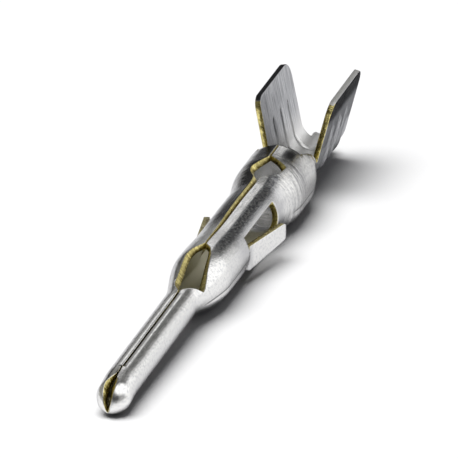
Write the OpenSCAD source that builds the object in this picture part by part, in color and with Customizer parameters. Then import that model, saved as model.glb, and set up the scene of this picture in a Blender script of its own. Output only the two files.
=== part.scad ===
// Crimp pin contact, stamped and rolled from one plated brass strip.
// The pin points to -X, the wire barrel is at +X with its wings up, and the
// seam of the rolled body lies on top, in the plane Y = 0. The shapes are drawn
// from the nose at X = 0 along the axis of the pin, and the finished contact
// stands with the middle of its underside on the origin.

/* [Strip] */
// Thickness of the strip
sheet_t = 0.18; // [0.14:0.005:0.2]

/* [Pin] */
// Diameter of the rolled pin
pin_d = 1.0; // [0.9:0.02:1.1]
// Length of the pin from its nose to the start of the shoulder
pin_len = 8.0; // [6.5:0.1:10]
// Length of the bullet nose
nose_len = 0.75; // [0.55:0.05:1.1]
// Diameter of the blunt end of the nose
nose_tip_d = 0.46; // [0.4:0.02:0.6]
// Length of the slit that opens in the nose
slit_len = 1.15; // [1.0:0.05:1.5]
// Width of the slit at the end of the nose
slit_w = 0.34; // [0.24:0.02:0.4]
// Width of the closed seam along the pin
pin_seam_w = 0.04; // [0.02:0.01:0.08]

/* [Body] */
// Length of the shoulder from the pin up to the bulge
shoulder_len = 2.45; // [1.8:0.05:3]
// Diameter of the bulge behind the shoulder
bulge_d = 1.76; // [1.7:0.02:1.9]
// Length over which the bulge draws in to the barrel
bulge_len = 1.5; // [1:0.1:2]
// Diameter of the barrel that carries the lances
barrel_d = 1.7; // [1.62:0.02:1.74]
// Length of the barrel between the bulge and the collar
barrel_len = 4.15; // [3.9:0.05:5]
// Width of the barrel seam at its front end
barrel_seam_front_w = 0.04; // [0.02:0.01:0.08]
// Width of the barrel seam at its rear end
barrel_seam_rear_w = 0.17; // [0.1:0.01:0.22]

/* [Collar] */
// Diameter of the closed collar
collar_d = 2.18; // [2.1:0.02:2.3]
// Length over which the barrel widens to the collar
collar_rise = 1.8; // [1.4:0.05:2.4]
// Length of the full collar behind that
collar_len = 1.4; // [1:0.05:2]
// Drop of the axis of the collar and wire barrel below the pin
rear_drop = 0.14; // [0.08:0.01:0.16]

/* [Seam windows] */
// Widest opening of the front window, across the seam
front_window_w = 1.08; // [0.8:0.02:1.12]
// Overlap of the front window onto the end of the pin
front_window_lead = 0.25; // [0.1:0.05:0.5]
// Length of the front window along the seam
front_window_len = 2.9; // [2:0.05:3.4]
// Widest opening of the rear window, across the seam
rear_window_w = 1.12; // [0.8:0.02:1.2]
// Length of the rear window along the seam
rear_window_len = 1.55; // [1.3:0.05:1.8]

/* [Locking lances] */
// Distance from the start of the barrel to the side windows
side_window_gap = 0.55; // [0.3:0.05:1]
// Length of each side window
side_window_len = 3.2; // [2.8:0.05:3.4]
// Height of the upper edge of the side windows above the axis
side_window_top = 0.5; // [0.35:0.01:0.55]
// Depth of the lower edge of the side windows below the axis
side_window_bottom = 0.52; // [0.45:0.01:0.6]
// Radius of the corners of the side windows
side_window_r = 0.12; // [0.05:0.01:0.2]
// Length of each lance along the contact
lance_len = 2.6; // [2:0.05:2.75]
// Distance of the lance tips from the middle plane
lance_reach = 1.27; // [1.1:0.01:1.4]
// Height of the upper edge of a lance at its root
lance_top = 0.15; // [0.05:0.01:0.2]
// Fall of the upper edge of a lance from its root to its tip
lance_taper = 0.16; // [0:0.01:0.2]

/* [Wire barrel] */
// Length of the narrowing part between the collar and the wire barrel
strap_len = 1.3; // [1:0.05:2]
// Height of the rear end of the side straps above the axis
strap_end_z = 0.4; // [0.3:0.02:0.6]
// Outer radius of the trough of the wire barrel
trough_r = 0.8; // [0.7:0.01:0.9]
// Length of the crimp wings along the contact
wing_len = 3.7; // [3:0.05:4.4]
// Height of the wing tips above the axis of the pin
wing_z = 1.75; // [1.5:0.05:2.4]
// Outward lean of the wings
wing_lean = 13.5; // [5:0.5:18]
// Backward slope of the front edge of the wings, along the contact
wing_rake = 0.35; // [0:0.05:0.6]
// Length of the notch between the side straps and the wings
notch_len = 0.3; // [0.2:0.02:0.4]
// Radius of the upper corners of the wings
wing_corner_r = 0.36; // [0.2:0.02:0.44]
// Number of serration grooves across the wire barrel
groove_count = 3; // [1:1:4]
// Distance between the grooves
groove_pitch = 0.86; // [0.6:0.02:0.96]
// Distance from the rear edge of the wings to the last groove
groove_margin = 0.94; // [0.6:0.02:1.1]
// Width of each groove
groove_w = 0.13; // [0.08:0.01:0.2]
// Depth of each groove
groove_depth = 0.05; // [0.03:0.005:0.08]
// Height of the upper end of the grooves above the axis
groove_top = 0.8; // [0.5:0.05:0.95]
// Length of the cut-off tab behind the wire barrel
tab_len = 0.45; // [0.2:0.05:0.8]
// Width of the cut-off tab
tab_w = 0.9; // [0.6:0.05:1]
// Radius of the rear corners of the tab
tab_corner_r = 0.15; // [0.1:0.01:0.2]

/* [Underside] */
// Width of the narrow flats pressed on the underside of the bulge and collar
rest_flat_w = 0.6; // [0.5:0.02:0.7]

/* [Hidden] */

// Steps in each smooth change of diameter
curve_steps = 10;
// Facets of the round faces where they are drawn
$fn = 96;
// Overlap that lets cutting shapes pass through a face
cut = 0.05;
// Height that clears everything above the contact
clear = 4;

pin_r = pin_d / 2;
bulge_r = bulge_d / 2;
barrel_r = barrel_d / 2;
collar_r = collar_d / 2;

// Stations along X
bulge_x = pin_len + shoulder_len;
barrel_x = bulge_x + bulge_len;
barrel_end_x = barrel_x + barrel_len;
collar_x = barrel_end_x + collar_rise;
collar_end_x = collar_x + collar_len;
wing_x = collar_end_x + strap_len;
wing_end_x = wing_x + wing_len;
front_window_x = pin_len - front_window_lead;
front_window_end_x = front_window_x + front_window_len;
rear_window_end_x = collar_x + 0.2 * collar_len;
rear_window_x = rear_window_end_x - rear_window_len;
side_window_x = barrel_x + side_window_gap;

// The collar starts inside the barrel, so that its lowered axis leaves no step
collar_start_r = barrel_r - rear_drop - 0.01;
// The barrel runs on inside the collar by this share of its rise
barrel_runout = 0.68 * collar_rise;

// Height of a flat of the given width on a round of radius r
function flat_z(r) = sqrt(r * r - rest_flat_w * rest_flat_w / 4);

// Smooth change of radius from [x0, r0] to [x1, r1], without its first point
function blend(x0, r0, x1, r1) = [
    for (i = [1 : curve_steps])
        let (s = i / curve_steps)
        [x0 + s * (x1 - x0), r0 + (r1 - r0) * (1 - cos(180 * s)) / 2]
];

// Bullet nose from its blunt end to the full radius r, as a quarter ellipse
function nose(tip_r, r, x0, x1) = [
    for (i = [0 : curve_steps])
        let (a = 90 * i / curve_steps)
        [x0 + (x1 - x0) * (1 - cos(a)), tip_r + (r - tip_r) * sin(a)]
];

// Profile of the pin and barrel, drawn in by a wall of thickness t
function front_profile(t) = concat(
    nose(nose_tip_d / 2 - t, pin_r - t, t, nose_len),
    [[pin_len, pin_r - t]],
    blend(pin_len, pin_r - t, bulge_x, bulge_r - t),
    blend(bulge_x, bulge_r - t, barrel_x, barrel_r - t),
    [[barrel_end_x + barrel_runout, barrel_r - t]]
);

// Profile of the collar and the part that narrows to the wire barrel
function collar_profile(t) = concat(
    [[barrel_end_x - t, collar_start_r - t]],
    [[barrel_end_x, collar_start_r - t]],
    blend(barrel_end_x, collar_start_r - t, collar_x, collar_r - t),
    [[collar_end_x, collar_r - t]],
    blend(collar_end_x, collar_r - t, wing_x, trough_r - t),
    [[wing_x + t, trough_r - t]]
);

// Solid of revolution about X from [x, r] points
module turned(points) {
    first = points[0][0];
    last = points[len(points) - 1][0];
    rotate([0, 90, 0]) rotate_extrude()
        polygon(concat([[0, first]], [for (p = points) [p[1], p[0]]], [[0, last]]));
}

// Cutting prism through the upper half, from an outline seen from above
module cut_from_above(points, z0 = 0) {
    translate([0, 0, z0]) linear_extrude(clear) polygon(points);
}

// Prism across the contact, from an outline seen from the side
module across(points, half_w) {
    translate([0, half_w, 0]) rotate([90, 0, 0]) linear_extrude(2 * half_w) polygon(points);
}

// Outline of a seam window: half of it given, mirrored about the seam
module seam_window(half, z0) {
    n = len(half);
    cut_from_above(concat(half, [for (i = [n - 2 : -1 : 1]) [half[i][0], -half[i][1]]]), z0);
}

// Lozenge over the shoulder, blunt at the pin and drawn out to the rear
module front_window() {
    w = front_window_w / 2;
    l = front_window_len;
    seam_window([
        [front_window_x, 0],
        [front_window_x + 0.1 * l, 0.42 * w],
        [front_window_x + 0.21 * l, 0.94 * w],
        [front_window_x + 0.29 * l, w],
        [front_window_x + 0.5 * l, 0.85 * w],
        [front_window_x + 0.8 * l, 0.62 * w],
        [front_window_x + 0.93 * l, 0.36 * w],
        [front_window_end_x, 0]
    ], 0.12);
}

// Opening at the rear end of the barrel seam, drawn to a point at both ends
module rear_window() {
    w = rear_window_w / 2;
    l = rear_window_len;
    seam_window([
        [rear_window_x, 0],
        [rear_window_x + 0.38 * l, 0.78 * w],
        [rear_window_x + 0.64 * l, 0.97 * w],
        [rear_window_x + 0.73 * l, w],
        [rear_window_x + 0.78 * l, 0.94 * w],
        [rear_window_end_x, 0]
    ], 0.3);
}

// Slit of the nose, closed seam of the pin, open seam of the barrel and collar
module seams() {
    cut_from_above([
        [-cut, 0.4 * slit_w], [-cut, -0.4 * slit_w],
        [0.3 * slit_len, -0.5 * slit_w], [0.7 * slit_len, -0.3 * slit_w],
        [slit_len, -pin_seam_w / 2], [slit_len, pin_seam_w / 2],
        [0.7 * slit_len, 0.3 * slit_w], [0.3 * slit_len, 0.5 * slit_w]
    ], -0.25 * pin_d);
    translate([slit_len - cut, -pin_seam_w / 2, 0])
        cube([front_window_x + 2 * cut - slit_len + cut, pin_seam_w, clear]);
    cut_from_above([
        [front_window_end_x - 2 * cut, barrel_seam_front_w / 2],
        [front_window_end_x - 2 * cut, -barrel_seam_front_w / 2],
        [rear_window_x + 2 * cut, -barrel_seam_rear_w / 2],
        [rear_window_x + 2 * cut, barrel_seam_rear_w / 2]
    ]);
    translate([rear_window_end_x - 2 * cut, -pin_seam_w / 2, 0])
        cube([collar_end_x - rear_window_end_x + 3 * cut, pin_seam_w, clear]);
}

// Rectangle with round corners, exact at any size
module rounded_rect(l, h, r) {
    translate([r, 0]) square([l - 2 * r, h]);
    translate([0, r]) square([l, h - 2 * r]);
    for (x = [r, l - r], y = [r, h - r]) translate([x, y]) circle(r);
}

// Opening cut in both sides of the barrel, through which the lances were bent
module side_windows() {
    translate([side_window_x, clear / 2, -side_window_bottom]) rotate([90, 0, 0])
        linear_extrude(clear)
            rounded_rect(side_window_len, side_window_bottom + side_window_top, side_window_r);
}

// Springy tongue bent out of the side window, rooted at its front end
module lance() {
    root_x = side_window_x;
    root_y = barrel_r - 0.06;
    tip_x = root_x + lance_len;
    root_in = 0.35;
    intersection() {
        translate([0, 0, -side_window_bottom]) linear_extrude(side_window_bottom + lance_top)
            polygon([
                [root_x - root_in, root_y - sheet_t],
                [root_x, root_y - sheet_t],
                [tip_x, lance_reach - sheet_t],
                [tip_x, lance_reach],
                [root_x, root_y],
                [root_x - root_in, root_y - 0.04]
            ]);
        across([
            [root_x - 1, -side_window_bottom],
            [tip_x + cut, -side_window_bottom + lance_taper / 2],
            [tip_x + cut, lance_top - lance_taper],
            [root_x, lance_top],
            [root_x - 1, lance_top]
        ], clear);
    }
}

// Section of the wire barrel in the plane across X: round trough and straight leaning walls
module trough_section(r, top_z) {
    side_y = r * cos(wing_lean);
    side_z = -r * sin(wing_lean);
    top_y = side_y + (top_z - side_z) * tan(wing_lean);
    circle(r);
    polygon([[-side_y, side_z], [side_y, side_z], [top_y, top_z], [-top_y, top_z]]);
}

// Wire barrel and its wings at full length, before their outline is cut
module wire_barrel_blank() {
    top_z = wing_z + rear_drop;
    translate([wing_x - notch_len, 0, 0]) rotate([90, 0, 90])
        linear_extrude(wing_len + notch_len) translate([0, -rear_drop]) difference() {
            trough_section(trough_r, top_z);
            trough_section(trough_r - sheet_t, top_z + cut);
        }
}

// Side view of what stays behind the collar: strap edge, notch and round-cornered wing
module rear_outline() {
    r = wing_corner_r;
    notch_x = wing_x - notch_len;
    front_top_x = wing_x + wing_rake;
    polygon([
        [collar_end_x - cut, -clear], [collar_end_x - cut, 0.62 * collar_r],
        [notch_x, strap_end_z], [notch_x + 0.12, strap_end_z - 0.1],
        [wing_x, strap_end_z],
        [front_top_x, wing_z - r], [front_top_x + r, wing_z - r],
        [front_top_x + r, wing_z],
        [wing_end_x - r, wing_z], [wing_end_x - r, wing_z - r],
        [wing_end_x, wing_z - r], [wing_end_x, -clear]
    ]);
    for (x = [front_top_x + r, wing_end_x - r]) translate([x, wing_z - r]) circle(r);
}

// Shallow coined grooves across the inside of the wire barrel
module grooves() {
    for (i = [0 : groove_count - 1]) {
        x = wing_end_x - groove_margin - i * groove_pitch;
        translate([x - groove_w / 2, 0, -rear_drop]) rotate([90, 0, 90])
            linear_extrude(groove_w) difference() {
                trough_section(trough_r - sheet_t + groove_depth, groove_top);
                trough_section(trough_r - sheet_t - groove_depth, groove_top + cut);
            }
    }
}

// Short tongue left where the contact was cut from its carrier strip
module cut_off_tab() {
    intersection() {
        translate([wing_end_x - cut, 0, -rear_drop]) rotate([90, 0, 90])
            linear_extrude(tab_len + cut) difference() {
                circle(trough_r);
                circle(trough_r - sheet_t);
            }
        translate([wing_end_x - 4 * cut, -tab_w / 2, -clear]) linear_extrude(clear)
            rounded_rect(tab_len + 4 * cut, tab_w, tab_corner_r);
    }
}

// Collar and straps, trimmed behind the collar to the side outline
module collar_shell(t) {
    translate([0, 0, -rear_drop]) turned(collar_profile(t));
}

// Trims everything behind the collar to its outline seen from the side
module trimmed_rear() {
    intersection() {
        union() {
            difference() {
                collar_shell(0);
                collar_shell(sheet_t);
                translate([barrel_end_x - 2 * sheet_t, 0, 0]) rotate([0, 90, 0])
                    cylinder(r = collar_start_r - sheet_t - rear_drop, h = 2 * sheet_t);
                translate([wing_x, 0, -rear_drop]) rotate([0, 90, 0])
                    cylinder(r = trough_r - sheet_t, h = 2 * sheet_t);
            }
            wire_barrel_blank();
        }
        union() {
            translate([barrel_end_x - clear, -clear, -clear])
                cube([collar_end_x - barrel_end_x + clear, 2 * clear, 2 * clear]);
            translate([0, clear, 0]) rotate([90, 0, 0]) linear_extrude(2 * clear) rear_outline();
        }
    }
}

// Narrow flats on the underside, where the strip lay on the die
module underside_flats() {
    translate([pin_len, -clear, -clear - flat_z(bulge_r)])
        cube([barrel_end_x - pin_len, 2 * clear, clear]);
    translate([barrel_end_x, -clear, -clear - flat_z(collar_r) - rear_drop])
        cube([wing_end_x - barrel_end_x, 2 * clear, clear]);
}

// The whole contact on the axis of its pin, with the nose at X = 0
module contact_on_pin_axis() {
    difference() {
        union() {
            difference() {
                union() {
                    turned(front_profile(0));
                    trimmed_rear();
                }
                turned(front_profile(sheet_t));
                intersection() {
                    collar_shell(sheet_t);
                    translate([barrel_end_x, -clear, -clear])
                        cube([collar_end_x - barrel_end_x, 2 * clear, 2 * clear]);
                }
                front_window();
                rear_window();
                seams();
                side_windows();
            }
            lance();
            mirror([0, 1, 0]) lance();
            cut_off_tab();
        }
        grooves();
        underside_flats();
    }
}

module contact() {
    color([0.80, 0.80, 0.80])
        translate([-(wing_end_x + tab_len) / 2, 0, flat_z(collar_r) + rear_drop])
            contact_on_pin_axis();
}

contact();
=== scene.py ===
"""Crimp pin contact, formed from one plated brass strip, on a pale studio floor."""

import math

import bpy
from mathutils import Matrix, Vector


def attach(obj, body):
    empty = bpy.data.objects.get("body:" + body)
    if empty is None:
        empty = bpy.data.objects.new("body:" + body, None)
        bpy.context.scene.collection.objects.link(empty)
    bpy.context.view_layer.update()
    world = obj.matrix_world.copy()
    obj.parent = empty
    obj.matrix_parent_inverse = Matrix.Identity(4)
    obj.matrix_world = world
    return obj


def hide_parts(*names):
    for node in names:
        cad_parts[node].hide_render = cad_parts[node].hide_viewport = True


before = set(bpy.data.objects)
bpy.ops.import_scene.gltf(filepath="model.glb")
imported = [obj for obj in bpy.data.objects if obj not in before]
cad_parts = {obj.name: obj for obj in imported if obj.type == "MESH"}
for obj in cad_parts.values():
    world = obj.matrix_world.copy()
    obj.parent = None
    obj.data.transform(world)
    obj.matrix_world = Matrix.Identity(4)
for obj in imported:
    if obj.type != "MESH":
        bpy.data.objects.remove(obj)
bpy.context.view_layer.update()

MM = 0.001
NOSE_X = -12.375
AXIS_Z = 1.1879

# Sheet and section sizes, in millimetres from the nose along the pin axis
SHEET = 0.18
EDGE_ROUND = 0.024
PIN_R = 0.505
BULGE_R = 0.875
BARREL_R = 0.86
COLLAR_R = 1.085
TROUGH_R = 0.80
BARREL_DROP = 0.10
COLLAR_DROP = 0.19
TROUGH_DROP = 0.10
PIN_TURN = 168
BARREL_TURN_LEFT = 157
BARREL_TURN_RIGHT = 164
COLLAR_TURN = 166

NOSE_START = 1.5
NOSE_DOME_X = 0.58
NOSE_TIP_X = 0.0
NOSE_TIP_DROP = 0.11
SLIT_START_X = 1.1
SLIT_LOW_Z = -0.40
SLIT_Y = 0.05
NOSE_BEND_Y = 0.02
NOSE_BEND_Z = 0.07

WINDOW_FRONT_X = 12.5
WINDOW_REAR_X = 15.75
LANCE_END_X = 15.2
LANCE_REACH = 1.26
COLLAR_TOP_END_X = 19.2
WING_FRONT_X = 20.6
WING_REAR_X = 24.3
TAB_END_X = 24.75
WING_TOP_Z = 1.75
WING_RAKE = 0.06
WING_CORNER = 0.42
WING_REAR_CORNER = 0.56
LEAN_LEFT = 11.0
LEAN_RIGHT = 15.3
GROOVES_X = (21.62, 22.48, 23.36)
GROOVE_HALF = 0.085
GROOVE_DEEP = 0.065
GROOVE_TOP_Z = 0.82
# Height above which the outer faces of the wings get the painted dark reflection
PAINTED_REFLECTION_FROM_Z = 0.2


def smooth(a, b, x):
    """0 before a, 1 after b, with a smooth rise between them."""
    if b == a:
        return 0.0 if x < a else 1.0
    t = min(1.0, max(0.0, (x - a) / (b - a)))
    return t * t * (3 - 2 * t)


def lerp(a, b, t):
    """The value at share t of the way from a to b."""
    return a + (b - a) * t


def along(points, x):
    """Value at x on straight lines through (x, value) points."""
    if x <= points[0][0]:
        return points[0][1]
    for (x0, v0), (x1, v1) in zip(points, points[1:]):
        if x <= x1:
            return lerp(v0, v1, (x - x0) / (x1 - x0))
    return points[-1][1]


def radius_at(x):
    """Outer radius of the rolled strip."""
    r = lerp(PIN_R, BULGE_R, smooth(7.7, 10.3, x))
    r = lerp(r, BARREL_R, smooth(10.6, 12.4, x))
    r = lerp(r, COLLAR_R, smooth(16.1, 18.0, x))
    return lerp(r, TROUGH_R, smooth(19.35, 20.7, x))


def drop_at(x):
    """Drop of the axis of the rolled strip below the axis of the pin."""
    drop = lerp(0, BARREL_DROP, smooth(10.0, 13.0, x))
    drop = lerp(drop, COLLAR_DROP, smooth(14.5, 18.0, x))
    return lerp(drop, TROUGH_DROP, smooth(19.35, 20.7, x))


def turn_at(x, side):
    """Angle from the underside at which the wall stops curving and runs straight."""
    lean = LEAN_LEFT if side > 0 else LEAN_RIGHT
    barrel_turn = BARREL_TURN_LEFT if side > 0 else BARREL_TURN_RIGHT
    turn = lerp(PIN_TURN, barrel_turn, smooth(10.0, 15.0, x))
    turn = lerp(turn, COLLAR_TURN, smooth(16.0, 18.0, x))
    return math.radians(lerp(turn, 90 - lean, smooth(19.2, 20.7, x)))


KEEL_LOW = 64
KEEL_HIGH = 75
KEEL_DEEP = 0.045
# Painted dark line along the step of the keel, a painted reflection of the contact shadow: from, to,
# and height above the pin axis
PAINTED_CREASE_LINES = ((8.3, 12.4, -0.22), (17.0, 19.6, -0.46))


def keel_at(x):
    """How far the lower half stands out where the tools met, along the bulge and the collar."""
    bulge = smooth(8.2, 9.2, x) * (1 - smooth(11.9, 12.5, x))
    collar = smooth(16.6, 17.4, x) * (1 - smooth(19.2, 19.9, x))
    return KEEL_DEEP * (bulge + collar)


def strip_point(x, s, side):
    """Place in the section at x, a length s up the wall from the underside."""
    r = radius_at(x)
    turn = turn_at(x, side)
    angle = min(s / r, turn)
    spare = max(0.0, s - r * turn)
    r += keel_at(x) * (1 - smooth(KEEL_LOW, KEEL_HIGH, math.degrees(angle)))
    y = r * math.sin(angle) + spare * math.cos(turn)
    z = -drop_at(x) - r * math.cos(angle) + spare * math.sin(turn)
    return x, side * y, z


def length_at_height(x, z, side):
    """Length up the wall to a height above the pin axis."""
    r = radius_at(x)
    turn = turn_at(x, side)
    rise = z + drop_at(x)
    turn_z = -r * math.cos(turn)
    if rise < turn_z:
        return r * math.acos(max(-1.0, min(1.0, -rise / r)))
    return r * turn + (rise - turn_z) / math.sin(turn)


# Half widths of the seam and its windows, by side: +1 is the +Y half
SEAM_RIGHT = [
    (0.0, 0.018), (7.70, 0.018), (7.78, 0.06), (8.04, 0.24), (8.30, 0.46), (8.42, 0.53),
    (8.60, 0.54), (9.20, 0.45), (10.05, 0.33), (10.45, 0.20), (10.60, 0.07),
    (10.68, 0.020), (13.5, 0.035), (16.60, 0.045), (16.72, 0.08), (17.24, 0.45),
    (17.45, 0.53), (17.66, 0.565), (17.80, 0.585), (17.88, 0.56), (18.18, 0.05),
    (18.22, 0.02), (19.4, 0.02),
]
SEAM_LEFT = [
    (0.0, 0.018), (7.70, 0.018), (7.78, 0.06), (8.10, 0.22), (8.38, 0.31), (8.77, 0.32),
    (9.30, 0.36), (9.93, 0.40), (10.30, 0.28), (10.55, 0.10), (10.66, 0.018),
    (13.5, 0.12), (16.60, 0.14), (16.80, 0.16), (17.22, 0.36), (17.30, 0.39), (17.46, 0.42),
    (17.58, 0.40), (17.85, 0.22), (18.10, 0.05), (18.18, 0.02), (19.4, 0.02),
]


def edge_length(x, side):
    """Length up the wall to the seam, or to the edge of a window in it."""
    half = along(SEAM_RIGHT if side < 0 else SEAM_LEFT, x)
    r = radius_at(x)
    turn = turn_at(x, side)
    if half < r * math.sin(turn):
        return r * turn - (r * math.sin(turn) - half) / math.cos(turn)
    return r * (math.pi - math.asin(min(0.98, half / r)))


# Shares of the half width of the strip at which its columns change: lower edge of the side
# window, lower and upper edge of the lance, upper edge of the window, edge of the straps
SHARES = (0.0, 0.285, 0.300, 0.565, 0.71, 0.77, 1.0)
COLUMNS = (9, 1, 11, 5, 4, 15)
# The left window starts higher up the wall than the right one
LEFT_WINDOW_RAISE = 0.135
STRAP_EDGE = [
    (19.2, 0.67), (19.6, 0.57), (20.0, 0.40), (20.22, 0.20), (20.36, 0.02), (20.48, -0.06),
    (20.6, -0.04), (20.75, 0.10), (21.0, 0.30), (21.3, 0.36), (24.8, 0.36),
]


def lines_at(x, side):
    """Lengths up the wall to each line between the columns."""
    if x <= COLLAR_TOP_END_X:
        full = edge_length(x, side)
        shares = list(SHARES)
        if side > 0:
            raised = smooth(11.0, WINDOW_FRONT_X, x) * (1 - smooth(WINDOW_REAR_X, 17.5, x))
            shares[1] += LEFT_WINDOW_RAISE * raised
            shares[2] += LEFT_WINDOW_RAISE * raised
        return [full * share for share in shares]
    strap = length_at_height(x, along(STRAP_EDGE, x), side)
    top = length_at_height(x, WING_TOP_Z, side)
    at_collar = [share / SHARES[5] for share in SHARES[:6]]
    tab = [0.0, 0.42 / strap, 0.50 / strap, 0.72, 0.86, 1.0]
    blend = smooth(COLLAR_TOP_END_X, WING_FRONT_X, x)
    lower = [strap * lerp(a, b, blend) for a, b in zip(at_collar, tab)]
    return lower + [top]


def row_places():
    """Stations of the rows of the strip behind the nose, closer where edges change fast."""
    stops = [
        (NOSE_START, 0), (7.6, 40), (10.8, 58), (WINDOW_FRONT_X, 12), (12.68, 3),
        (LANCE_END_X, 18), (WINDOW_REAR_X, 4), (16.55, 6), (17.9, 24), (18.24, 9),
        (COLLAR_TOP_END_X, 8), (WING_FRONT_X, 18), (WING_REAR_X, 60), (TAB_END_X, 5),
    ]
    places = [NOSE_START]
    for (a, _), (b, count) in zip(stops, stops[1:]):
        places += [lerp(a, b, (i + 1) / count) for i in range(count)]
    return places


NOSE_ROWS = 30
ROWS = row_places()


def slit_half(z, x):
    """Half width of the slit across the nose, at a height on its rounded end."""
    if x > NOSE_DOME_X:
        return lerp(0.15, 0.018, smooth(NOSE_DOME_X, SLIT_START_X, x) ** 0.6)
    rise = (z - SLIT_LOW_Z) / (0.30 - SLIT_LOW_Z)
    if rise <= 0:
        return 0.0
    return 0.17 * min(1.0, rise) ** 0.6


def nose_point(angle, way, side):
    """Point on the nose at an angle from the underside: way 0 is the plain pin, 2 the pole."""
    if way <= 1.0:
        x = lerp(NOSE_START, NOSE_DOME_X, way)
        r = PIN_R
        fall = 0.0
    else:
        turn = (way - 1.0) * math.pi / 2
        x = NOSE_DOME_X - (NOSE_DOME_X - NOSE_TIP_X) * math.sin(turn)
        r = PIN_R * math.cos(turn)
        fall = NOSE_TIP_DROP * math.sin(turn) ** 2
    bend = 1 - smooth(0.4, NOSE_START, x)
    y = side * r * math.sin(angle) - NOSE_BEND_Y * bend
    return x, y, -NOSE_BEND_Z * bend - fall - r * math.cos(angle)


def nose_way_end(angle, side):
    """How far the strip reaches round the nose at an angle, up to the slit."""
    low, high = 0.1, 2.0
    for _ in range(40):
        mid = (low + high) / 2
        x, y, z = nose_point(angle, mid, side)
        away = abs(y - SLIT_Y * (1 - smooth(NOSE_DOME_X, SLIT_START_X, x)))
        if away < slit_half(z, x) and x < SLIT_START_X:
            high = mid
        else:
            low = mid
    return low


def pressed(x, z):
    """Height kept above the narrow flats on which the contact rests."""
    lowest = -0.92 if x < 16.1 else -1.245
    return max(z, lowest)


def lance_point(x, share, side):
    """Place on a lance: share runs from its lower to its upper edge."""
    run = (x - WINDOW_FRONT_X) / (LANCE_END_X - WINDOW_FRONT_X)
    low = lerp(-0.62, -0.54, run) if side < 0 else lerp(-0.44, -0.40, run)
    high = lerp(0.15, -0.02, run)
    corner = 0.13
    length = LANCE_END_X - WINDOW_FRONT_X
    height = high - low
    u, v = run * length, share * height
    for flip in (False, True):
        w = height - v if flip else v
        a = (u - (length - corner)) / corner
        b = (corner - w) / corner
        if a > 0 and b > 0:
            u = length - corner + corner * a * math.sqrt(1 - b * b / 2)
            w = corner - corner * b * math.sqrt(1 - a * a / 2)
            v = height - w if flip else w
    y = lerp(BARREL_R - 0.03, LANCE_REACH, u / length)
    return WINDOW_FRONT_X + u, side * y, low + v


def groove_depth(x, z):
    """How far the wall is pressed outwards by the grooves across the wire barrel."""
    deep = 0.0
    for centre in GROOVES_X:
        away = abs(x - centre) / GROOVE_HALF
        if away < 1:
            deep = GROOVE_DEEP * min(1.0, 2.2 * (1 - away))
    return deep * (1 - smooth(GROOVE_TOP_Z - 0.12, GROOVE_TOP_Z, z))


def wing_place(x, share, side):
    """Place on a wing above the straps' edge, with raked front and round top corners."""
    lines = lines_at(x, side)
    low, top = lines[5], lines[6]
    length = WING_REAR_X - WING_FRONT_X
    height = top - low
    u, v = x - WING_FRONT_X, share * height
    for rear in (False, True):
        corner = WING_REAR_CORNER if rear else WING_CORNER
        w = length - u if rear else u
        a = min(1.0, (corner - w) / corner)
        b = min(1.0, (v - (height - corner)) / corner)
        if a > 0 and b > 0:
            w = corner - corner * a * math.sqrt(1 - b * b / 2)
            v = height - corner + corner * b * math.sqrt(1 - a * a / 2)
            u = length - w if rear else w
    rake = WING_RAKE * (v / height) * (1 - u / length)
    return WING_FRONT_X + u + rake, low + v


def column_share(column):
    """Band of a column line counted from the underside, and the share of that band."""
    for band, count in enumerate(COLUMNS):
        if column <= count:
            return band, column / count
        column -= count
    return len(COLUMNS) - 1, 1.0


HALF_COLUMNS = sum(COLUMNS)
LANCE_FIRST = sum(COLUMNS[:2])
LANCE_LAST = sum(COLUMNS[:3])


def formed(row, column, side):
    """Where a point of the flat blank goes when the strip is formed, in mm."""
    band, share = column_share(column)
    if row < NOSE_ROWS:
        full = edge_length(NOSE_START, side)
        angle = lerp(SHARES[band], SHARES[band + 1], share) * full / PIN_R
        way = nose_way_end(angle, side) * (1 - row / NOSE_ROWS)
        return nose_point(angle, way, side)
    x = ROWS[row - NOSE_ROWS]
    if LANCE_FIRST <= column <= LANCE_LAST and WINDOW_FRONT_X < x <= LANCE_END_X + 1e-6:
        lance_share = (column - LANCE_FIRST) / (LANCE_LAST - LANCE_FIRST)
        return lance_point(x, lance_share, side)
    lines = lines_at(x, side)
    if band == 5 and WING_FRONT_X <= x <= WING_REAR_X + 1e-6:
        x, s = wing_place(x, share, side)
    else:
        s = lerp(lines[band], lines[band + 1], share)
    if x > WING_REAR_X and band == 0:
        s = round_tab(x, s, lines[1])
    px, y, z = strip_point(x, s, side)
    if band == 5 and x < WINDOW_FRONT_X:
        away = (lines[6] - s) / LIP_WIDE
        z -= lip_roll(x) * max(0.0, 1 - away) ** 2
    if x >= WING_FRONT_X:
        deep = groove_depth(x, z)
        angle = min(s / radius_at(x), turn_at(x, side))
        y += side * deep * math.sin(angle)
        z -= deep * math.cos(angle)
    return px, y, pressed(px, z)


LIP_WIDE = 0.15
LIP_ROLL = 0.055


def lip_roll(x):
    """How deep the edges are rolled into the seam of the pin."""
    return LIP_ROLL * (1 - smooth(7.2, 7.7, x))


def round_tab(x, s, half):
    """Draws the corners of the cut-off tab in to a radius."""
    corner = 0.16
    a = (x - (TAB_END_X - corner)) / corner
    b = (s - (half - corner)) / corner
    if a > 0 and b > 0:
        return half - corner + corner * b * math.sqrt(1 - a * a / 2)
    return s


def is_open(row, column):
    """Whether the cell behind a row and outside a column is cut out of the blank."""
    band, _ = column_share(column + 0.5)
    if row < NOSE_ROWS:
        return False
    x = (ROWS[row - NOSE_ROWS] + ROWS[row - NOSE_ROWS + 1]) / 2
    in_window = WINDOW_FRONT_X < x < WINDOW_REAR_X
    if in_window and band in (1, 3):
        return True
    if LANCE_END_X < x < WINDOW_REAR_X and band == 2:
        return True
    if COLLAR_TOP_END_X < x < WING_FRONT_X and band == 5:
        return True
    return x > WING_REAR_X and band > 0


def select_none():
    """Deselects every object."""
    bpy.ops.object.select_all(action="DESELECT")


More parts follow.
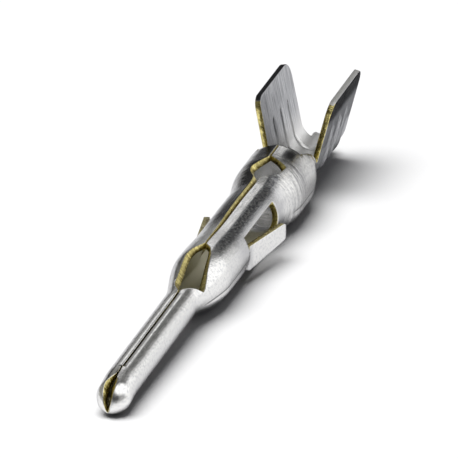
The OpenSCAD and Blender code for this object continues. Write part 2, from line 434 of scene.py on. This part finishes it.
def mark_lips(mesh):
    """Gives the edges round the cut faces the weight by which they are rounded."""
    shared = {}
    for face in mesh.polygons:
        for key in face.edge_keys:
            shared.setdefault(key, []).append(face.material_index)
    weights = mesh.attributes.new("bevel_weight_edge", "FLOAT", "EDGE")
    for edge in mesh.edges:
        if sorted(shared[edge.key]) == [0, 1]:
            weights.data[edge.index].value = 1.0


def close_slit(mesh, outer_count):
    """Brings the inner edges of the slit across the nose together, so that it is a V."""
    cells = mesh.attributes["cell"].data
    for vertex in mesh.vertices[outer_count:]:
        row, column, _ = cells[vertex.index].vector
        on_seam = round(abs(column)) == HALF_COLUMNS and round(row) < NOSE_ROWS
        if round(row) > 0 and not on_seam:
            continue
        x = vertex.co.x / MM - NOSE_X
        side = 1 if column > 0 else -1
        shut = SLIT_Y * (1 - smooth(NOSE_DOME_X, SLIT_START_X, x)) + side * 0.022
        vertex.co.y = lerp(vertex.co.y, shut * MM, 0.9)


# How far the inner lip stands in from the outer one along the seam, by side
SLANT_LEFT = [
    (7.7, 0.0), (8.2, 0.05), (9.9, 0.07), (10.35, 0.04), (10.7, 0.01), (13.0, 0.04),
    (16.6, 0.05), (17.3, 0.06), (17.8, 0.06), (18.15, 0.0),
]
SLANT_RIGHT = [(7.8, 0.0), (8.4, 0.05), (10.0, 0.05), (10.5, 0.0), (16.8, 0.0), (17.4, 0.07),
               (17.9, 0.07), (18.15, 0.0)]


def slant_lips(mesh, outer_count):
    """Draws the inner lips of the seam in, so that the cut edges face up and show."""
    cells = mesh.attributes["cell"].data
    for vertex in mesh.vertices[outer_count:]:
        row, column, _ = cells[vertex.index].vector
        if round(abs(column)) < HALF_COLUMNS or round(row) < NOSE_ROWS:
            continue
        x = vertex.co.x / MM - NOSE_X
        if column > 0:
            vertex.co.y -= along(SLANT_LEFT, x) * MM
        else:
            vertex.co.y += along(SLANT_RIGHT, x) * MM


def note_places(mesh, outer_count):
    """Keeps, for the finish, each point's place along and across the strip and its side."""
    cells = mesh.attributes["cell"].data
    places = mesh.attributes.new("strip_place", "FLOAT_VECTOR", "POINT")
    for vertex in mesh.vertices:
        row, column, _ = cells[vertex.index].vector
        x = vertex.co.x / MM - NOSE_X
        band, share = column_share(round(abs(column)))
        row_x = x if row < NOSE_ROWS else ROWS[round(row) - NOSE_ROWS]
        lines = lines_at(max(row_x, NOSE_START), 1 if column >= 0 else -1)
        s = lerp(lines[band], lines[band + 1], share)
        inside = 1.0 if vertex.index >= outer_count else 0.0
        places.data[vertex.index].vector = (x, math.copysign(s, column), inside)


def plate_wing_tops(mesh):
    """The top edges of the wings are edges of the strip, plated like its faces."""
    for face in mesh.polygons:
        x = face.center.x / MM - NOSE_X
        z = face.center.z / MM - AXIS_Z
        if x > WING_FRONT_X and z > WING_TOP_Z - 0.42 and face.normal.z > 0.72:
            face.material_index = 0


def paint_reflection_on_wing_outsides(mesh):
    """The outer faces of the wings take the plate with a painted dark reflection, above the straps.
    """
    places = mesh.attributes["strip_place"].data
    for face in mesh.polygons:
        x, z = face.center.x / MM - NOSE_X, face.center.z / MM - AXIS_Z
        is_outer = all(places[i].vector[2] < 0.05 for i in face.vertices)
        if x > WING_FRONT_X and z > PAINTED_REFLECTION_FROM_Z and is_outer and face.material_index == 0:
            face.material_index = 2


def make_strip():
    """The whole contact: a flat blank, pierced, formed, then given its thickness."""
    rows = NOSE_ROWS + len(ROWS) - 1
    columns = 2 * HALF_COLUMNS
    select_none()
    bpy.ops.mesh.primitive_grid_add(x_subdivisions=rows, y_subdivisions=columns, size=2)
    strip = bpy.context.active_object
    strip.name = "contact_strip"
    grid = {}
    cell = strip.data.attributes.new("cell", "FLOAT_VECTOR", "POINT")
    for vertex in strip.data.vertices:
        row = round((vertex.co.x + 1) / 2 * rows)
        column = round((vertex.co.y + 1) / 2 * columns) - HALF_COLUMNS
        grid[vertex.index] = (row, column)
        cell.data[vertex.index].vector = (row, column, 0)
    bpy.ops.object.mode_set(mode="EDIT")
    bpy.ops.mesh.select_mode(type="FACE")
    bpy.ops.mesh.select_all(action="DESELECT")
    bpy.ops.object.mode_set(mode="OBJECT")
    for face in strip.data.polygons:
        row = min(grid[i][0] for i in face.vertices)
        column = min(abs(grid[i][1]) for i in face.vertices)
        face.select = is_open(row, column)
    for vertex in strip.data.vertices:
        row, column = grid[vertex.index]
        side = 1 if column >= 0 else -1
        x, y, z = formed(row, abs(column), side)
        vertex.co = ((NOSE_X + x) * MM, y * MM, (AXIS_Z + z) * MM)
    bpy.ops.object.mode_set(mode="EDIT")
    bpy.ops.mesh.delete(type="FACE")
    bpy.ops.mesh.select_all(action="SELECT")
    bpy.ops.mesh.delete_loose()
    bpy.ops.object.mode_set(mode="OBJECT")
    lowest = min(strip.data.polygons, key=lambda face: face.center.z)
    if lowest.normal.z > 0:
        strip.data.flip_normals()
    strip.data.materials.append(silver_plate())
    strip.data.materials.append(bare_brass_edge())
    wall = strip.modifiers.new("wall", "SOLIDIFY")
    wall.thickness = SHEET * MM
    wall.offset = -1
    wall.use_even_offset = False
    wall.material_offset = 0
    wall.material_offset_rim = 1
    outer_count = len(strip.data.vertices)
    bpy.ops.object.modifier_apply(modifier=wall.name)
    close_slit(strip.data, outer_count)
    slant_lips(strip.data, outer_count)
    note_places(strip.data, outer_count)
    mark_lips(strip.data)
    lips = strip.modifiers.new("lips", "BEVEL")
    lips.width = EDGE_ROUND * MM
    lips.segments = 2
    lips.limit_method = "WEIGHT"
    lips.use_clamp_overlap = False
    bpy.ops.object.modifier_apply(modifier=lips.name)
    strip.data.materials.append(plate_with_painted_reflection())
    plate_wing_tops(strip.data)
    paint_reflection_on_wing_outsides(strip.data)
    bpy.ops.object.shade_smooth()
    return strip


def socket_of(node, name):
    """The input of a node with this name or number that is in use."""
    if isinstance(name, int):
        return node.inputs[name]
    return next(s for s in node.inputs if s.name == name and s.enabled)


def result_of(mix):
    """The output of a Mix node that is in use."""
    return next(s for s in mix.outputs if s.enabled)


def node_maker(tree):
    """Short way to add a node to a tree and set its inputs and properties."""

    def add(kind, inputs=None, **properties):
        node = tree.nodes.new(kind)
        for name, value in properties.items():
            setattr(node, name, value)
        for name, value in (inputs or {}).items():
            socket = socket_of(node, name)
            if isinstance(value, bpy.types.NodeSocket):
                tree.links.new(value, socket)
            else:
                socket.default_value = value
        return node

    return add


def fine_lines_group():
    """Group: fine lines left by tools, drawn out along one direction of the strip."""
    group = bpy.data.node_groups.new("fine_lines", "ShaderNodeTree")
    group.interface.new_socket("Place", in_out="INPUT", socket_type="NodeSocketVector")
    group.interface.new_socket("Across", in_out="INPUT", socket_type="NodeSocketVector")
    group.interface.new_socket("Low", in_out="INPUT", socket_type="NodeSocketFloat")
    group.interface.new_socket("High", in_out="INPUT", socket_type="NodeSocketFloat")
    group.interface.new_socket("Lines", in_out="OUTPUT", socket_type="NodeSocketFloat")
    add = node_maker(group)
    inward = add("NodeGroupInput")
    drawn = add(
        "ShaderNodeVectorMath",
        {0: inward.outputs["Place"], 1: inward.outputs["Across"]},
        operation="MULTIPLY",
    )
    lines = add(
        "ShaderNodeTexNoise",
        {"Vector": drawn.outputs["Vector"], "Scale": 1.0, "Detail": 3.0, "Roughness": 0.65},
    )
    spread = add(
        "ShaderNodeMapRange",
        {
            "Value": lines.outputs["Fac"],
            "From Min": inward.outputs["Low"],
            "From Max": inward.outputs["High"],
        },
    )
    outward = add("NodeGroupOutput")
    group.links.new(spread.outputs["Result"], outward.inputs["Lines"])
    return group


FINE_LINES = None


def fine_lines(add, place, across, low=0.35, high=0.65):
    """Places the group of fine lines in a material."""
    global FINE_LINES
    if FINE_LINES is None:
        FINE_LINES = fine_lines_group()
    node = add("ShaderNodeGroup", node_tree=FINE_LINES)
    node.id_data.links.new(place, node.inputs["Place"])
    node.inputs["Across"].default_value = across
    node.inputs["Low"].default_value = low
    node.inputs["High"].default_value = high
    return node.outputs["Lines"]


def ramp(add, value, low, high, at_low=0.0, at_high=1.0):
    """Smooth rise of a mask between two values."""
    node = add(
        "ShaderNodeMapRange",
        {"Value": value, "From Min": low, "From Max": high, "To Min": at_low, "To Max": at_high},
        interpolation_type="SMOOTHSTEP",
    )
    return node.outputs["Result"]


def times(add, a, b):
    """Product of two masks."""
    return add("ShaderNodeMath", {0: a, 1: b}, operation="MULTIPLY").outputs[0]


def blend(add, mask, a, b):
    """Colour that goes from a to b by a mask."""
    return result_of(add("ShaderNodeMix", {"Factor": mask, "A": a, "B": b}, data_type="RGBA"))


def blend_value(add, mask, a, b):
    """Value that goes from a to b by a mask."""
    return result_of(add("ShaderNodeMix", {"Factor": mask, "A": a, "B": b}, data_type="FLOAT"))


SILVER_BRIGHT = (0.88, 0.875, 0.86, 1)
SILVER_DULL = (0.58, 0.585, 0.60, 1)
REAR_LIGHTER = (0.70, 0.695, 0.68, 1)
REAR_DARKER = (0.25, 0.25, 0.26, 1)
# Near-black of the painted dark reflections and painted shade on the plate
PAINTED_DARK = (0.045, 0.045, 0.048, 1)
WING_LIGHT = (0.72, 0.725, 0.74, 1)
WING_DARK = (0.25, 0.255, 0.27, 1)
WING_TOP = (0.66, 0.655, 0.64, 1)
PLATE_EDGE_TINT = (0.62, 0.62, 0.63, 1)
# Dark edge tint of the wings' outer plate, part of the painted dark reflection
PAINTED_REFLECTION_EDGE_TINT = (0.16, 0.16, 0.165, 1)
# Dark of the painted reflection band on the barrel
PAINTED_BAND_REFLECTION = (0.13, 0.135, 0.155, 1)
BARREL_GREY = (0.52, 0.52, 0.53, 1)
PAINTED_CREASE_SHADOW = (0.05, 0.05, 0.05, 1)
TROUGH_BRIGHT = (0.86, 0.855, 0.845, 1)
# Near-black of the painted dark reflection on the wings' outer faces
PAINTED_DARK_REFLECTION = (0.055, 0.055, 0.062, 1)
INSIDE_OLIVE = (0.80, 0.775, 0.63, 1)
BRASS_BRIGHT = (0.78, 0.68, 0.28, 1)
BRASS_DARK = (0.15, 0.115, 0.03, 1)


def silver_plate():
    """Bright plate, polished where the tools rolled it and left dull on the flat wings, with dark
    reflections and shade painted onto the barrel, collar and wing tops.
    """
    material = bpy.data.materials.new("silver_plate")
    material.use_nodes = True
    tree = material.node_tree
    add = node_maker(tree)
    shader = tree.nodes["Principled BSDF"]
    shader.inputs["Metallic"].default_value = 1.0
    shader.inputs["Specular Tint"].default_value = PLATE_EDGE_TINT
    place = add("ShaderNodeAttribute", attribute_name="strip_place").outputs["Vector"]
    parts = add("ShaderNodeSeparateXYZ", {"Vector": place})
    x = parts.outputs["X"]
    inside = parts.outputs["Z"]
    object_place = add("ShaderNodeTexCoord").outputs["Object"]
    space = add("ShaderNodeSeparateXYZ", {"Vector": object_place})
    across = times(add, space.outputs["Y"], 1 / MM)
    height_up = add(
        "ShaderNodeMath", {0: space.outputs["Z"], 1: 1 / MM, 2: -AXIS_Z}, operation="MULTIPLY_ADD"
    ).outputs[0]
    on_collar = times(add, ramp(add, x, 15.9, 16.9), ramp(add, x, 18.1, 18.8, 1.0, 0.15))
    on_wings = ramp(add, x, 20.0, 20.9)
    in_tube = times(add, inside, ramp(add, x, 15.9, 16.9, 1.0, 0.0))

    grain = add(
        "ShaderNodeTexNoise", {"Vector": place, "Scale": 10.0, "Detail": 3.0, "Roughness": 0.8}
    ).outputs["Fac"]
    dapple = add(
        "ShaderNodeTexNoise", {"Vector": place, "Scale": 2.6, "Detail": 2.0}
    ).outputs["Fac"]
    drawn = fine_lines(add, place, (0.9, 20.0, 1.0))
    rings = fine_lines(add, place, (7.0, 0.55, 1.0))
    mill = fine_lines(add, place, (15.0, 0.9, 1.0), 0.30, 0.70)

    speckle = ramp(add, grain, 0.46, 0.66)
    colour = blend(add, times(add, speckle, 0.7), SILVER_BRIGHT, SILVER_DULL)
    rear = blend(add, times(add, speckle, 0.5), REAR_LIGHTER, REAR_DARKER)
    rear = blend(add, times(add, ramp(add, rings, 0.35, 0.95), on_collar), rear, REAR_DARKER)
    # The plate turns darker towards the rear, over the collar
    colour = blend(add, ramp(add, x, 15.6, 18.6), colour, rear)
    tube = times(add, ramp(add, x, 12.0, 13.4), ramp(add, x, 19.9, 20.3, 1.0, 0.0))
    on_left = times(add, ramp(add, across, 0.02, 0.08), ramp(add, across, 0.42, 0.72, 1.0, 0.0))
    on_top = times(add, ramp(add, height_up, 0.25, 0.45), ramp(add, inside, 0.2, 0.6, 1.0, 0.0))
    barrel = times(add, ramp(add, x, 10.9, 12.2), ramp(add, x, 16.2, 17.2, 1.0, 0.0))
    on_wall = times(add, ramp(add, across, -0.90, -0.84), ramp(add, across, -0.55, -0.40, 1.0, 0.0))
    colour = blend(add, times(add, times(add, barrel, on_wall), 0.7), colour, BARREL_GREY)
    # Painted dark reflection in a grainy band along the right top of the barrel
    band = times(add, ramp(add, across, -0.31, -0.26, 1.0, 0.0), ramp(add, across, -0.66, -0.46))
    band = times(add, band, times(add, ramp(add, x, 9.8, 11.2), ramp(add, x, 16.9, 17.6, 1.0, 0.0)))
    band = times(add, band, times(add, on_top, ramp(add, grain, 0.38, 0.60, 0.35, 0.95)))
    colour = blend(add, band, colour, PAINTED_BAND_REFLECTION)
    # Painted reflection of the contact shadow along the keel's step
    for first, last, level in PAINTED_CREASE_LINES:
        away = add("ShaderNodeMath", {0: height_up, 1: level}, operation="SUBTRACT").outputs[0]
        away = add("ShaderNodeMath", {0: away}, operation="ABSOLUTE").outputs[0]
        painted_line = times(add, ramp(add, away, 0.012, 0.034, 1.0, 0.0), ramp(add, x, first, first + 0.5))
        painted_line = times(add, painted_line, ramp(add, x, last - 0.5, last, 1.0, 0.0))
        colour = blend(add, times(add, painted_line, 0.8), colour, PAINTED_CREASE_SHADOW)
    # Painted shade: a near-black patch on the right top of the collar's rear
    painted_cheek_shade = times(add, ramp(add, x, 18.05, 18.6), ramp(add, across, -0.34, -0.24, 1.0, 0.0))
    painted_cheek_shade = times(add, painted_cheek_shade, times(add, on_top, ramp(add, across, -0.66, -0.56)))
    painted_cheek_shade = times(add, painted_cheek_shade, ramp(add, x, 18.8, 19.25, 1.0, 0.0))
    colour = blend(add, times(add, painted_cheek_shade, 0.9), colour, PAINTED_DARK)
    # Painted dark reflection along the left top of the barrel and collar, beside the seam
    painted_left_reflection = times(add, times(add, tube, on_left), times(add, on_top, 0.97))
    colour = blend(add, painted_left_reflection, colour, PAINTED_DARK)
    wing_tone = blend(add, mill, WING_LIGHT, WING_DARK)
    facing = add("ShaderNodeSeparateXYZ", {"Vector": add("ShaderNodeNewGeometry").outputs["Normal"]})
    on_tops = times(add, ramp(add, height_up, 1.25, 1.40), ramp(add, facing.outputs["Z"], 0.6, 0.8))
    # The top edge of the left wing is painted dark as painted shade; the right one keeps the grey top
    # tone
    top_tone = blend(add, ramp(add, across, -0.1, 0.1), WING_TOP, PAINTED_DARK)
    wing_tone = blend(add, on_tops, wing_tone, top_tone)
    colour = blend(add, on_wings, colour, wing_tone)
    colour = blend(add, in_tube, colour, INSIDE_OLIVE)
    in_trough = times(add, ramp(add, x, 16.2, 16.8), ramp(add, height_up, -0.5, 0.6, 1.0, 0.0))
    colour = blend(add, times(add, in_trough, inside), colour, TROUGH_BRIGHT)
    tree.links.new(colour, shader.inputs["Base Color"])

    roughness = ramp(add, dapple, 0.3, 0.7, 0.10, 0.22)
    roughness = blend_value(add, on_wings, roughness, ramp(add, mill, 0.0, 1.0, 0.26, 0.40))
    roughness = blend_value(add, in_tube, roughness, 0.58)
    roughness = blend_value(add, on_tops, roughness, 0.55)
    tree.links.new(roughness, shader.inputs["Roughness"])

    height = times(add, grain, 1.5)
    for lines, mask, depth in ((drawn, None, 0.30), (rings, on_collar, 3.0), (mill, on_wings, 1.6)):
        part = times(add, lines, depth)
        if mask is not None:
            part = times(add, part, mask)
        height = add("ShaderNodeMath", {0: height, 1: part}, operation="ADD").outputs[0]
    bump = add("ShaderNodeBump", {"Height": height, "Strength": 1.0, "Distance": 0.0000035})
    tree.links.new(bump.outputs["Normal"], shader.inputs["Normal"])
    return material


def plate_with_painted_reflection():
    """Plate on the outside of the wings: a painted dark reflection along the top, brushed grey below.
    """
    material = bpy.data.materials.new("plate_with_painted_reflection")
    material.use_nodes = True
    tree = material.node_tree
    add = node_maker(tree)
    shader = tree.nodes["Principled BSDF"]
    shader.inputs["Metallic"].default_value = 1.0
    shader.inputs["Specular Tint"].default_value = PAINTED_REFLECTION_EDGE_TINT
    place = add("ShaderNodeAttribute", attribute_name="strip_place").outputs["Vector"]
    object_place = add("ShaderNodeTexCoord").outputs["Object"]
    height = add("ShaderNodeSeparateXYZ", {"Vector": object_place}).outputs["Z"]
    height_up = add(
        "ShaderNodeMath", {0: height, 1: 1 / MM, 2: -AXIS_Z}, operation="MULTIPLY_ADD"
    ).outputs[0]
    mill = fine_lines(add, place, (15.0, 0.9, 1.0), 0.30, 0.70)
    # Painted dark reflection along the top of the wings' outer faces, its lower edge following the
    # mill lines
    reflection_edge = add(
        "ShaderNodeMath", {0: mill, 1: -0.26, 2: height_up}, operation="MULTIPLY_ADD"
    ).outputs[0]
    reflection_mask = ramp(add, reflection_edge, 0.80, 1.16)
    brushed = blend(add, mill, WING_LIGHT, WING_DARK)
    tree.links.new(blend(add, reflection_mask, brushed, PAINTED_DARK_REFLECTION), shader.inputs["Base Color"])
    tree.links.new(ramp(add, mill, 0.0, 1.0, 0.26, 0.40), shader.inputs["Roughness"])
    relief = times(add, mill, 1.6)
    bump = add("ShaderNodeBump", {"Height": relief, "Strength": 1.0, "Distance": 0.0000035})
    tree.links.new(bump.outputs["Normal"], shader.inputs["Normal"])
    return material


def bare_brass_edge():
    """Cut edge of the strip: bare brass with the lines left by the shears."""
    material = bpy.data.materials.new("bare_brass_edge")
    material.use_nodes = True
    tree = material.node_tree
    add = node_maker(tree)
    shader = tree.nodes["Principled BSDF"]
    shader.inputs["Metallic"].default_value = 1.0
    place = add("ShaderNodeAttribute", attribute_name="strip_place").outputs["Vector"]
    depth = add("ShaderNodeSeparateXYZ", {"Vector": place}).outputs["Z"]
    sheared = fine_lines(add, place, (12.0, 3.0, 0.6))
    torn = ramp(add, depth, 0.45, 0.75)
    shade = add("ShaderNodeMath", {0: times(add, torn, 0.35), 1: times(add, sheared, 0.65)})
    shade.operation = "ADD"
    colour = blend(add, shade.outputs[0], BRASS_BRIGHT, BRASS_DARK)
    tree.links.new(colour, shader.inputs["Base Color"])
    tree.links.new(ramp(add, sheared, 0.0, 1.0, 0.18, 0.36), shader.inputs["Roughness"])
    bump = add("ShaderNodeBump", {"Height": sheared, "Strength": 1.0, "Distance": 0.000014})
    tree.links.new(bump.outputs["Normal"], shader.inputs["Normal"])
    return material


strip = make_strip()
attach(strip, "root")
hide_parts("contact")


FLOOR_TONE = 0.2
FLOOR_SEEN_TONE = 1.0
# The sheet on the floor rises a little under the nose, so that nose and collar both rest on it
FLOOR_PLACES = ((-300.0, 0.62), (-12.6, 0.62), (5.9, -0.085), (400.0, -0.085))


def make_floor():
    """Pale floor that the camera sees as white, keeping the soft shadow."""
    select_none()
    bpy.ops.mesh.primitive_grid_add(x_subdivisions=3, y_subdivisions=1, size=0.6)
    floor = bpy.context.active_object
    floor.name = "floor"
    for vertex in floor.data.vertices:
        x, z = FLOOR_PLACES[round((vertex.co.x / 0.6 + 0.5) * 3)]
        vertex.co.x = x * MM
        vertex.co.z = z * MM
    floor.data.materials.append(plain_floor())


def seen_rays(add):
    """1 for the rays by which the floor is seen, straight or in the metal."""
    light_path = add("ShaderNodeLightPath")
    either = add(
        "ShaderNodeMath",
        {0: light_path.outputs["Is Camera Ray"], 1: light_path.outputs["Is Glossy Ray"]},
        operation="MAXIMUM",
    )
    any_seen = add(
        "ShaderNodeMath",
        {0: either.outputs[0], 1: light_path.outputs["Is Transmission Ray"]},
        operation="MAXIMUM",
    )
    straight = add(
        "ShaderNodeMath", {0: light_path.outputs["Diffuse Depth"], 1: 0.5}, operation="LESS_THAN"
    )
    return times(add, any_seen.outputs[0], straight.outputs[0])


def plain_floor():
    """Pale floor, white for the rays that see it."""
    material = bpy.data.materials.new("studio_floor")
    material.use_nodes = True
    add = node_maker(material.node_tree)
    shader = material.node_tree.nodes["Principled BSDF"]
    shader.inputs["Roughness"].default_value = 0.7
    shader.inputs["Specular IOR Level"].default_value = 0.0
    tone = add(
        "ShaderNodeMix",
        {
            "Factor": seen_rays(add),
            "A": (FLOOR_TONE, FLOOR_TONE, FLOOR_TONE, 1),
            "B": (FLOOR_SEEN_TONE, FLOOR_SEEN_TONE, FLOOR_SEEN_TONE, 1),
        },
        data_type="RGBA",
    )
    material.node_tree.links.new(result_of(tone), shader.inputs["Base Color"])
    return material


make_floor()

# The studio as the metal mirrors it: azimuth 0 is behind the wings, 90 on the right of the
# contact and 180 in front of its nose; each box has its aim, its soft edge and its level
STUDIO_FILL = (0.09, 0.09, 0.095, 1)
STUDIO_WALL = (0.17, 0.17, 0.165, 1)
STUDIO_BOXES = (
    ("left_wall", -75, 5, 15, 65, (0.30, 0.295, 0.26, 1)),
    ("right_wall", 88, 0, 20, 60, (0.42, 0.42, 0.42, 1)),
    ("dark_front", 168, 15, 12, 48, (0.07, 0.07, 0.07, 1)),
    ("dark_rear_left", -32, 2, 6, 15, (0.05, 0.05, 0.048, 1)),
    ("rear_left_sheet", -21, 13, 3, 10, (0.5, 0.5, 0.49, 1)),
    ("low_box", 44, 8, 16, 30, (1.2, 1.2, 1.2, 1)),
    ("right_box", 64, 36, 22, 38, (1.2, 1.2, 1.2, 1)),
    ("high_box", 106, 62, 18, 36, (1.3, 1.3, 1.3, 1)),
    ("rear_strip", -7, 25, 4, 10, (1.2, 1.2, 1.2, 1)),
)


def toward(azimuth, elevation):
    """Unit vector to a place in the studio."""
    a = math.radians(azimuth)
    e = math.radians(elevation)
    return math.cos(e) * math.cos(a), -math.cos(e) * math.sin(a), math.sin(e)


def make_world():
    """Studio round the object: grey walls, soft white boxes and dark flags."""
    world = bpy.data.worlds.new("studio")
    world.use_nodes = True
    bpy.context.scene.world = world
    tree = world.node_tree
    add = node_maker(tree)
    place = add("ShaderNodeTexCoord").outputs["Generated"]
    colour = None
    for name, azimuth, elevation, core, reach, tone in STUDIO_BOXES:
        facing = add(
            "ShaderNodeVectorMath",
            {0: place, 1: toward(azimuth, elevation)},
            operation="DOT_PRODUCT",
        )
        mask = add(
            "ShaderNodeMapRange",
            {
                "Value": facing.outputs["Value"],
                "From Min": math.cos(math.radians(reach)),
                "From Max": math.cos(math.radians(core)),
            },
            interpolation_type="SMOOTHSTEP",
        )
        below = colour if colour is not None else STUDIO_WALL
        box = add(
            "ShaderNodeMix",
            {"Factor": mask.outputs["Result"], "A": below, "B": tone},
            data_type="RGBA",
            label=name,
        )
        colour = result_of(box)
    back = tree.nodes["Background"]
    tree.links.new(colour, back.inputs["Color"])
    white = add("ShaderNodeBackground", {"Color": (1, 1, 1, 1), "Strength": 1.0})
    fill = add("ShaderNodeBackground", {"Color": STUDIO_FILL, "Strength": 1.0})
    light_path = add("ShaderNodeLightPath")
    straight = add(
        "ShaderNodeMath", {0: light_path.outputs["Diffuse Depth"], 1: 0.5}, operation="LESS_THAN"
    )
    mirror_ray = add(
        "ShaderNodeMath",
        {0: light_path.outputs["Is Glossy Ray"], 1: straight.outputs[0]},
        operation="MULTIPLY",
    )
    mirrored = add("ShaderNodeMixShader", {"Fac": mirror_ray.outputs[0]})
    tree.links.new(fill.outputs["Background"], mirrored.inputs[1])
    tree.links.new(back.outputs["Background"], mirrored.inputs[2])
    both = add("ShaderNodeMixShader", {"Fac": light_path.outputs["Is Camera Ray"]})
    tree.links.new(mirrored.outputs["Shader"], both.inputs[1])
    tree.links.new(white.outputs["Background"], both.inputs[2])
    tree.links.new(both.outputs["Shader"], tree.nodes["World Output"].inputs["Surface"])


make_world()


def make_lamp(name, azimuth, elevation, distance, size, power):
    """Soft lamp aimed at the contact, which lights the floor and shows in no metal."""
    data = bpy.data.lights.new(name, "AREA")
    data.shape = "DISK"
    data.size = size
    data.energy = power
    lamp = bpy.data.objects.new(name, data)
    bpy.context.scene.collection.objects.link(lamp)
    away = Vector(toward(azimuth, elevation))
    lamp.location = away * distance
    lamp.rotation_euler = away.to_track_quat("Z", "Y").to_euler()
    lamp.visible_glossy = False
    return lamp


make_lamp("high_key", -125, 76, 0.4, 0.42, 2.0)


CAMERA_AIM = Vector(((NOSE_X + 10.0) * MM, 0, AXIS_Z * MM))
CAMERA_AZIMUTH = math.radians(-75.0)
CAMERA_ELEVATION = math.radians(20.5)
CAMERA_ROLL = math.radians(-0.5)
CAMERA_DISTANCE = 291.747 * MM
CAMERA_OFFSET = (-0.85139 * MM, -1.45224 * MM)
FOCAL_IN_PIXELS = 10000
PICTURE_SIDE = 458


def make_camera():
    """Long lens above and behind the nose, looking along the contact."""
    flat = math.cos(CAMERA_ELEVATION)
    ahead = Vector(
        (
            -math.sin(CAMERA_AZIMUTH) * flat,
            math.cos(CAMERA_AZIMUTH) * flat,
            -math.sin(CAMERA_ELEVATION),
        )
    )
    level = ahead.cross(Vector((0, 0, 1))).normalized()
    upright = level.cross(ahead)
    right = math.cos(CAMERA_ROLL) * level + math.sin(CAMERA_ROLL) * upright
    up = right.cross(ahead)
    place = CAMERA_AIM - ahead * CAMERA_DISTANCE
    place -= right * CAMERA_OFFSET[0] + up * CAMERA_OFFSET[1]
    camera = bpy.data.objects.new("camera", bpy.data.cameras.new("camera"))
    bpy.context.scene.collection.objects.link(camera)
    camera.matrix_world = Matrix(
        (
            (right.x, up.x, -ahead.x, place.x),
            (right.y, up.y, -ahead.y, place.y),
            (right.z, up.z, -ahead.z, place.z),
            (0, 0, 0, 1),
        )
    )
    camera.data.sensor_width = 36
    camera.data.lens = FOCAL_IN_PIXELS / PICTURE_SIDE * camera.data.sensor_width
    camera.data.clip_start = 0.01
    camera.data.clip_end = 10
    bpy.context.scene.camera = camera


make_camera()
bpy.context.scene.view_settings.view_transform = "Standard"
